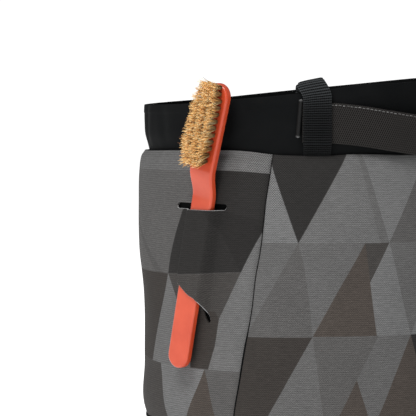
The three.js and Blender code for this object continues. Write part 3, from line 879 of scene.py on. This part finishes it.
def lathe(name, profile, dent=None):
    """A closed form turned round the bag's axis from (radius, height) pairs."""
    columns = 240
    corners = []
    for radius, height in profile[1:-1]:
        for column in range(columns):
            angle = 360 * column / columns
            depth = dent(angle, radius, height) if dent else 0
            corners.append(tuple(around(angle, radius - depth, height)))
    rings = len(profile) - 2
    faces = ring_faces(rings, columns)
    last_ring = (rings - 1) * columns
    first, last = len(corners), len(corners) + 1
    corners += [(0, 0, profile[0][1]), (0, 0, profile[-1][1])]
    for column in range(columns):
        beside = (column + 1) % columns
        faces.append((first, beside, column))
        faces.append((last, last_ring + column, last_ring + beside))
    return new_object(name, new_mesh(name, corners, faces))


def lining():
    thickness, corner, centre = 2 * MM, 6 * MM, 4 * MM
    top = WALL_TOP - COLLAR_TUCK - GAP
    floor = WALL_FOOT + thickness
    inset = WALL_THICKNESS + GAP
    foot = WALL_RADIUS - inset - thickness
    under = [(r, WALL_FOOT) for r in np.linspace(centre, foot - thickness, 8)]
    outside = [(float(wall_radius(h)) - inset, h) for h in np.linspace(WALL_FOOT, top, 60)]
    inside = [
        (float(wall_radius(h)) - inset - thickness, h) for h in np.linspace(top, floor + corner, 60)
    ]
    round_foot = [
        (foot - corner * (1 - math.cos(turn)), floor + corner * (1 - math.sin(turn)))
        for turn in QUARTER_TURN[1:]
    ]
    across = [(r, floor) for r in np.linspace(foot - corner - thickness, centre, 40)]
    profile = [(0, WALL_FOOT), *under, *outside, *inside, *round_foot, *across, (0, floor)]

    def dent(angle, radius, height):
        """How far the loose lining is pushed in at a place on its inner face."""
        if height < floor or radius > wall_radius(height) - inset - thickness / 2:
            return 0
        depth = abs(noise.noise(Vector(around(angle, radius, height)) * 22)) * 2.2 * MM
        return depth * min(1, (height - floor) / (8 * MM) + 0.05)

    piece = lathe("lining", profile, dent)
    return place_piece(piece, "bag", "black_nylon", black_cloth("lining_nylon", 13), "inner_wall")


def base():
    radius = WALL_RADIUS - WALL_THICKNESS / 2
    low, top, edge = BASE_FOOT, BASE_TOP, 1.3 * MM
    corner = radius - edge
    profile = [(0, low)] + [(r, low) for r in np.linspace(5 * MM, corner, 30)]
    for turn in QUARTER_TURN[1:]:
        profile.append((corner + edge * math.sin(turn), low + edge * (1 - math.cos(turn))))
    for turn in QUARTER_TURN:
        profile.append((corner + edge * math.cos(turn), top - edge * (1 - math.sin(turn))))
    profile += [(r, top) for r in np.linspace(radius - 4 * MM, 5 * MM, 30)] + [(0, top)]
    piece = lathe("round_base", profile)
    return place_piece(piece, "bag", "black_nylon", black_cloth("base_nylon", 20), "base_panel")


# Webbing loops, carry strap and its stiff ends

STRAP_WIDTH = 27.2 * MM
STRAP_THICKNESS = 1.8 * MM
STRAP_INSIDE = COLLAR_FOOT + COLLAR_FLARE + GAP
STRAP_MIDDLE = WALL_TOP + 22.6 * MM
ROD_LENGTH = 26 * MM
ROD_MIDDLE = STRAP_MIDDLE + 2.6 * MM
STRAP_BOW = 13 * MM
STRAP_DROOP = 19 * MM
STRAP_LEAN = 0.9 * MM
STRAP_RIPPLE = 0.35 * MM
STRAP_CROWN = 0.25 * MM

# The strap from a loop to its middle at the right: share of the way, of the bow and of the droop
STRAP_ROUTE = [
    (0, 0, 0), (0.12, 0, 0.04), (0.2, 0.1, 0.13), (0.3, 0.32, 0.3), (0.42, 0.58, 0.5),
    (0.55, 0.78, 0.68), (0.7, 0.92, 0.85), (0.85, 0.99, 0.97), (1, 1, 1),
]
LOOP_ANGLE = 1.7
LOOP_WIDTH = 18.5 * MM
WEBBING_THICKNESS = 1.5 * MM
LOOP_TUCK = 9 * MM  # how far the webbing reaches down behind the wall's edge
RIB_PITCH = 1.6 * MM
RIB_HEIGHT = 0.4 * MM
LOOP_ARCH = 5.9 * MM
LOOP_LEG = 28 * MM
LOOP_SKEW = 2.7  # degrees that the top of the loop leans to the side
ROD_RADIUS = 1.6 * MM
ROD_SLANT = 2.2 * MM
ROD_LAP = 0.16 * MM
LOOP_HALF_ANGLE = math.degrees(LOOP_WIDTH / 2 / STRAP_INSIDE)
STRAP_START = LOOP_ANGLE - LOOP_HALF_ANGLE - math.degrees(0.6 * MM / STRAP_INSIDE)


def loop_path(angle):
    """The webbing's middle line as radii and heights, from behind the wall up over the rim."""
    half = WEBBING_THICKNESS / 2
    rim = WALL_TOP + float(collar_rise(angle))
    tucked = WALL_RADIUS - WALL_THICKNESS - GAP - half
    outside = STRAP_INSIDE + STRAP_THICKNESS + GAP + half
    low = STRAP_MIDDLE - STRAP_WIDTH / 2

    def inner(height):
        return float(collar_radius(angle, height)) - COLLAR_THICKNESS - GAP - half

    corners = [
        (tucked, WALL_TOP - LOOP_TUCK), (tucked, WALL_TOP - LOOP_TUCK / 2),
        (tucked, WALL_TOP + GAP), (outside, low - GAP), (outside, low + STRAP_WIDTH / 4),
        (outside, STRAP_MIDDLE), (outside, low + STRAP_WIDTH),
        (outside - half / 2, rim + LOOP_ARCH / 4),
        ((outside + inner(rim)) / 2, rim + LOOP_ARCH - half),
        (inner(rim) - half / 2, rim + LOOP_ARCH / 4),
    ]
    for share in (0.25, 0.5, 1):
        down = rim - LOOP_LEG * share
        corners.append((inner(down), down))
    steps = [0.0]
    for before, after in zip(corners, corners[1:]):
        steps.append(steps[-1] + math.dist(before, after) ** 0.5)
    places = np.linspace(0, steps[-1], 560)
    return [
        smooth_table([(step, corner[axis]) for step, corner in zip(steps, corners)], places)
        for axis in (0, 1)
    ]


def webbing_loop(name, angle, node, material):
    """A ribbed loop that leans to the side and curls at its outer edge where it bends over."""
    radius, height = loop_path(angle)
    run = np.concatenate([[0], np.cumsum(np.hypot(np.diff(radius), np.diff(height)))])
    tangent_r, tangent_z = np.gradient(radius), np.gradient(height)
    length = np.hypot(tangent_r, tangent_z)
    tangent_r, tangent_z = tangent_r / length, tangent_z / length
    across = spaced(28, -1, 1)[None, :]
    summit = int(np.argmax(height))
    rim = WALL_TOP + float(collar_rise(angle))
    bend_start = int(np.argmax(height > rim - 5 * MM))
    over = smooth_step(run[bend_start], run[summit] + 3 * MM, run)[:, None]
    mirror = 1 if angle < 90 else -1
    skew = -LOOP_SKEW * over * mirror
    lift = bump_at(run, run[summit], 13 * MM)[:, None]
    slope = 0.2 * across * mirror * LOOP_WIDTH / 2 * lift
    curl = 0.7 * MM * lift * np.clip(-across * mirror - 0.35, 0, 1)
    turn = angle + skew + across * LOOP_HALF_ANGLE
    rib = RIB_HEIGHT * np.cos(2 * np.pi * run / RIB_PITCH)[:, None] * (1 - across**8)
    selvedge = 0.18 * MM * (1 - smooth_step(0.03, 0.12, 1 - np.abs(across)))

    def face(side):
        offset = side * (WEBBING_THICKNESS / 2 + rib * 0.8 - selvedge) + curl * 0.4
        r = radius[:, None] + tangent_z[:, None] * offset
        z = height[:, None] - tangent_r[:, None] * offset - curl + slope
        return around(turn, r, z)

    # The third value is 1 at the loop's top bend, where the webbing material paints a highlight.
    place = points_at(across * LOOP_WIDTH / 2 / MM, run[:, None] / MM, lift)
    piece = sheet_mesh(name, face(1), face(-1), place, round_rim=0.35 * MM)
    return place_piece(piece, "bag", "black_webbing", material, node)


def strap_place(turns, across, side):
    """A place on the strap: turns from 0 to 2 along it, across from -0.5 to 0.5, and side 1 for
    its outer face or 0 for its inner face."""
    place = 1 - np.abs(1 - turns)
    bow = STRAP_BOW * smooth_table([(a, b) for a, b, _ in STRAP_ROUTE], place)
    droop = STRAP_DROOP * smooth_table([(a, c) for a, _, c in STRAP_ROUTE], place)
    angle = STRAP_START + (90 - STRAP_START) * turns
    lean = STRAP_LEAN * np.sin(math.pi * turns) * across * 2
    ripple = STRAP_RIPPLE * np.sin(9 * math.pi * turns + 5 * across) * smooth_step(0.12, 0.4, place)
    radius = STRAP_INSIDE + bow + lean * smooth_step(0.2, 0.6, place) + ripple
    crown = STRAP_CROWN * (1 - (2 * across) ** 6)
    depth = side * (STRAP_THICKNESS - 2 * STRAP_CROWN) + STRAP_CROWN + (2 * side - 1) * crown
    return around(angle, radius + depth, STRAP_MIDDLE - droop + across * STRAP_WIDTH)


def carry_strap():
    turns = np.linspace(0, 2, 620)[None, :]
    across = spaced(30, -0.5, 0.5)[:, None]
    run = np.radians(STRAP_START + (90 - STRAP_START) * turns) * STRAP_INSIDE / MM
    front, back = strap_place(turns, across, 1), strap_place(turns, across, 0)
    place = points_at(across * STRAP_WIDTH / MM, run)
    piece = sheet_mesh("strap_webbing", front, back, place, round_rim=0.5 * MM)
    material = webbing(
        "taupe_webbing", level=33, warmth=1.5, across_pitch=1.45, up_pitch=1.3, stagger=0.5,
        contrast=0.5,
    )
    return place_piece(piece, "bag", "taupe_webbing", material, "carry_strap")


def strap_stitches():
    """A row of pale stitches along the strap's top edge, whose ends sink into it."""
    sunk = np.array([0.25, 0, -0.1, 0, 0.25])[:, None] * MM
    pitch, length, below_edge = 2.6 * MM, 1.7 * MM, 1.5 * MM
    count = int(STRAP_INSIDE * math.radians(2 * (90 - STRAP_START)) / pitch)
    meshes = []
    for index in range(count):
        turns = (2 * index + 1 + length / pitch * np.linspace(-1, 1, 5)) / count
        across = 0.5 - below_edge / STRAP_WIDTH + 0.004 * math.sin(index * 2.4)
        surface = strap_place(turns, across, 1.0)
        outward = surface * np.array([1, 1, 0])
        outward = outward / np.linalg.norm(outward, axis=1)[:, None]
        meshes.append(tube_mesh("stitch", surface - outward * sunk, 0.3 * MM, 6))
    stops = [(0.3, grey(60, 1)), (0.65, grey(118, 1))]
    material = fibre("sewing_thread", 700, stops, depth=0.1 * MM, roughness=0.85)
    return place_piece(joined("strap_stitches", meshes), "bag", "taupe_webbing", material)


def strap_end(name, angle, node, material):
    """The strap's stiff end: a rod in a tight black cover with a lapped seam."""
    centre = around(angle, STRAP_INSIDE + ROD_RADIUS, ROD_MIDDLE)
    sides, rings = 28, 60
    lapped_sides = 0.55 * sides
    corners = []
    place = []
    for share in np.linspace(0, 1, rings):
        height = (share - 0.5) * ROD_LENGTH
        from_end = min(share, 1 - share) * ROD_LENGTH / ROD_RADIUS
        shrink = math.sqrt(1 - max(0, 1 - from_end) ** 2)
        for side in range(sides):
            turn = 2 * math.pi * side / sides
            full = ROD_RADIUS if side < lapped_sides else ROD_RADIUS - ROD_LAP
            girth = max(full * shrink, 0.05 * MM)
            corners.append((
                centre[0] + girth * math.cos(turn) + ROD_SLANT * (share - 0.5),
                centre[1] + girth * math.sin(turn),
                centre[2] + height,
            ))
            # The height along the rod, which the cover's material reads to paint highlights at both
            # ends.
            place.append((0, height / MM, 0))
    mesh = new_mesh(name, corners, rod_faces(rings, sides), place)
    return place_piece(new_object(name, mesh), "bag", "black_webbing", material, node)


# The brush

LENGTH_OVER_SLOT = 83 * MM
BRUSH_LENGTH = 198 * MM
HEAD_END = (SLOT_TOP - BRUSH_HEIGHT) / math.cos(BRUSH_TILT) + LENGTH_OVER_SLOT
HEAD_LENGTH = 59 * MM
HEAD_WIDTH = 20 * MM
HEAD_START = HEAD_END - HEAD_LENGTH
HANDLE_END = HEAD_END - BRUSH_LENGTH
HANDLE_EDGE = 1.5 * MM
HANDLE_ROUND = 9.4 * MM  # the length of the rows that make each round end
HANDLE_CROWN = 0.22 * MM
NECK_LENGTH = 20 * MM
HEAD_OFFSET = 5.7 * MM
HEAD_SLOPE = math.tan(math.radians(4.6))


def stand_off(along):
    """How far the bent neck and the leaning head stand off the handle's plane."""
    bend = smooth_step(HEAD_START - NECK_LENGTH, HEAD_START, along)
    return HEAD_OFFSET * bend - HEAD_SLOPE * np.maximum(0, along - HEAD_START)


def brush_handle():
    """A flat bar with round ends and rounded edges. Its rows lie closer together at the ends."""
    ends = np.concatenate([[0, 0.03, 0.12, 0.28, 0.5, 0.8, 1.15], np.linspace(1.5, 9, 24)]) * MM
    straight = np.linspace(HANDLE_END + HANDLE_ROUND, HEAD_END - HANDLE_ROUND, 220)
    along = np.concatenate([HANDLE_END + ends, straight, HEAD_END - ends[::-1]])[:, None]
    flare = smooth_step(HEAD_START - NECK_LENGTH, HEAD_START, along)
    full = (HANDLE_WIDTH + (HEAD_WIDTH - HANDLE_WIDTH) * flare) / 2
    short = np.maximum(0, full - np.minimum(along - HANDLE_END, HEAD_END - along))
    half = np.maximum(np.sqrt(full**2 - short**2), 0.3 * MM)
    share = np.sin(np.linspace(-math.pi / 2, math.pi / 2, 45))[None, :]
    across = half * share
    from_edge = np.clip(full - np.hypot(across, short), 0, HANDLE_EDGE)
    inset = HANDLE_EDGE - np.sqrt(HANDLE_EDGE**2 - (HANDLE_EDGE - from_edge) ** 2)
    outside = HANDLE_THICKNESS - inset + HANDLE_CROWN * (1 - share**2)
    front = points_at(across, along, outside + stand_off(along))
    back = points_at(across, along, inset + stand_off(along))
    piece = sheet_mesh("handle", front, back)
    piece.data.transform(brush_matrix())
    return place_piece(piece, "brush", "orange_plastic", orange_plastic(), "brush_handle")


TUFT_ROWS = (-0.5, 0, 0.5)
TUFTS_IN_ROW = 12
TUFTS_WIDE = 11.2 * MM
TUFTS_LONG = 50.5 * MM
TUFTS_MIDDLE = (HEAD_START + HEAD_END) / 2 + 2.2 * MM
TUFT_RADIUS = 1.25 * MM
TUFT_STRANDS = 95
LEAN_ACROSS = 0.24
LEAN_ALONG = 0.17
NECK_BRISTLE = 14.5 * MM
END_BRISTLE = 11.5 * MM
STRAND_RINGS = 4
STRAND_SIDES = 3


def flat_direction(turn):
    return Vector((math.cos(turn), math.sin(turn), 0))


def tufts():
    """Each tuft's root, its strands' mean direction and their length."""
    for across in TUFT_ROWS:
        for along in np.linspace(-0.5, 0.5, TUFTS_IN_ROW):
            narrowing = 0.4 if along > 0 else 0.3
            narrow = 1 - narrowing * smooth_step(0.3, 0.5, abs(along))
            root = (across * TUFTS_WIDE * narrow, TUFTS_MIDDLE + along * TUFTS_LONG)
            lean = (across * LEAN_ACROSS, along * LEAN_ALONG, 1)
            length = NECK_BRISTLE + (END_BRISTLE - NECK_BRISTLE) * (along + 0.5)
            shorter = 1 - 0.12 * smooth_step(0.3, 0.5, -along)
            yield Vector((*root, HANDLE_THICKNESS + GAP)), Vector(lean), float(length * shorter)


def bristles():
    """Tufts of tapered strands, each with its own bend, length and tone."""
    rng = random.Random(7)
    corners = []
    faces = []
    place = []
    for middle, lean, length in tufts():
        for _ in range(TUFT_STRANDS):
            turn = rng.uniform(0, 2 * math.pi)
            out = math.sqrt(rng.random())
            root = middle + flat_direction(turn) * TUFT_RADIUS * out
            spread_turn = turn + rng.gauss(0, 0.5)
            spread = out * 0.15 + rng.gauss(0, 0.05)
            heading = (lean + flat_direction(spread_turn) * spread).normalized()
            bend = Vector((rng.gauss(0, 0.7), rng.gauss(0, 0.7), 0)) * MM
            reach = length * (1 - 0.1 * rng.random() ** 2) / heading.z
            tone = min(1, max(0, rng.gauss(0.55, 0.3)))
            girth = rng.uniform(0.15, 0.24) * MM
            faces += ring_faces(STRAND_RINGS, STRAND_SIDES, len(corners))
            for ring in range(STRAND_RINGS):
                share = ring / (STRAND_RINGS - 1)
                centre = root + heading * reach * share + bend * share**2
                for side in range(STRAND_SIDES):
                    outward = flat_direction(turn + 2 * math.pi * side / STRAND_SIDES)
                    corner = centre + outward * girth * (1 - 0.45 * share)
                    corner.z += float(stand_off(corner.y))
                    corners.append(corner)
                    # The share along the strand, which the bristle material reads to paint shade
                    # near the root.
                    place.append((tone, share, 0))
            faces.append(range(len(corners) - STRAND_SIDES, len(corners)))
    piece = new_object("bristle_tufts", new_mesh("bristle_tufts", corners, faces, place))
    piece.data.transform(brush_matrix())
    return place_piece(piece, "brush", "boar_bristle", bristle_hair(), "brush_bristles")


# Stage, light and camera

WHITE = (1, 1, 1, 1)
FLOOR_COLOR = (0.85, 0.85, 0.85, 1)
FILL_STRENGTH = 0.3
SEEN_STRENGTH = 1.1
LIGHT_TARGET = Vector((0, 0, 0.13))

# The camera looks from far away at the height of a standing bag's rim, as in the photograph
CAMERA_PLACE = (0, -1800 * MM, 250 * MM)
CAMERA_TARGET = Vector((-74.3 * MM, 0, 148.6 * MM))
SENSOR_WIDTH = 36
PHOTO_SIZE = 416  # pixels
PHOTO_FOCAL = 2520  # pixels


def make_stage():
    """A pale floor that runs on into the white background."""
    corners = [(-6, -6, 0), (6, -6, 0), (6, 9, 0), (-6, 9, 0)]
    floor = new_object("floor", new_mesh("floor", corners, [(0, 1, 2, 3)]))
    floor.data.materials.append(Nodes("white_floor").surface(
        FLOOR_COLOR, 0.9, Emission_Color=WHITE, Emission_Strength=0.8
    ))


def make_world():
    """White where the camera sees it, and a softer fill for the light on the bag."""
    world = bpy.data.worlds.new("studio")
    bpy.context.scene.world = world
    world.use_nodes = True
    tree = world.node_tree
    path = tree.nodes.new("ShaderNodeLightPath")
    mix = tree.nodes.new("ShaderNodeMixShader")
    tree.links.new(path.outputs["Is Camera Ray"], mix.inputs["Fac"])
    tree.links.new(mix.outputs[0], tree.nodes["World Output"].inputs["Surface"])
    fill = tree.nodes["Background"]
    seen = tree.nodes.new("ShaderNodeBackground")
    for light, strength, socket in ((fill, FILL_STRENGTH, 1), (seen, SEEN_STRENGTH, 2)):
        light.inputs["Color"].default_value = WHITE
        light.inputs["Strength"].default_value = strength
        tree.links.new(light.outputs[0], mix.inputs[socket])


def aim(thing, place, target):
    thing.location = place
    thing.rotation_euler = (target - thing.location).to_track_quat("-Z", "Y").to_euler()


def make_light(name, place, size, power):
    data = bpy.data.lights.new(name, "AREA")
    data.shape = "RECTANGLE"
    data.size, data.size_y = size
    data.energy = power
    aim(new_object(name, data), place, LIGHT_TARGET)


def make_camera():
    data = bpy.data.cameras.new("camera")
    data.sensor_width = SENSOR_WIDTH
    data.lens = SENSOR_WIDTH * PHOTO_FOCAL / PHOTO_SIZE
    camera = new_object("camera", data)
    aim(camera, CAMERA_PLACE, CAMERA_TARGET)
    bpy.context.scene.camera = camera


def main():
    wall = outer_wall()
    panel = brush_panel()
    mouth_edges()
    cuff = collar()
    lining()
    base()
    black_web = webbing(
        "black_webbing", level=16, warmth=-1, across_pitch=1.25, up_pitch=RIB_PITCH / MM,
        stagger=0, contrast=1.0,
    )
    webbing_loop("webbing_near", LOOP_ANGLE, "webbing_loop_near", black_web)
    webbing_loop("webbing_far", 180 - LOOP_ANGLE, "webbing_loop_far", black_web)
    carry_strap()
    strap_stitches()
    end_angle = math.degrees((ROD_RADIUS + GAP) / STRAP_INSIDE)
    cover = rod_cover()
    strap_end("rod_near", STRAP_START - end_angle, "strap_end_near", cover)
    strap_end("rod_far", 180 - STRAP_START + end_angle, "strap_end_far", cover)
    brush_handle()
    bristles()
    make_stage()
    make_world()
    make_light("overhead", (-0.5, -0.9, 1.7), (0.9, 0.7), 25)
    make_light("front", (-0.9, -2.0, 0.9), (1.3, 1.3), 9)
    make_camera()
    bpy.context.scene.view_settings.view_transform = "Standard"


main()
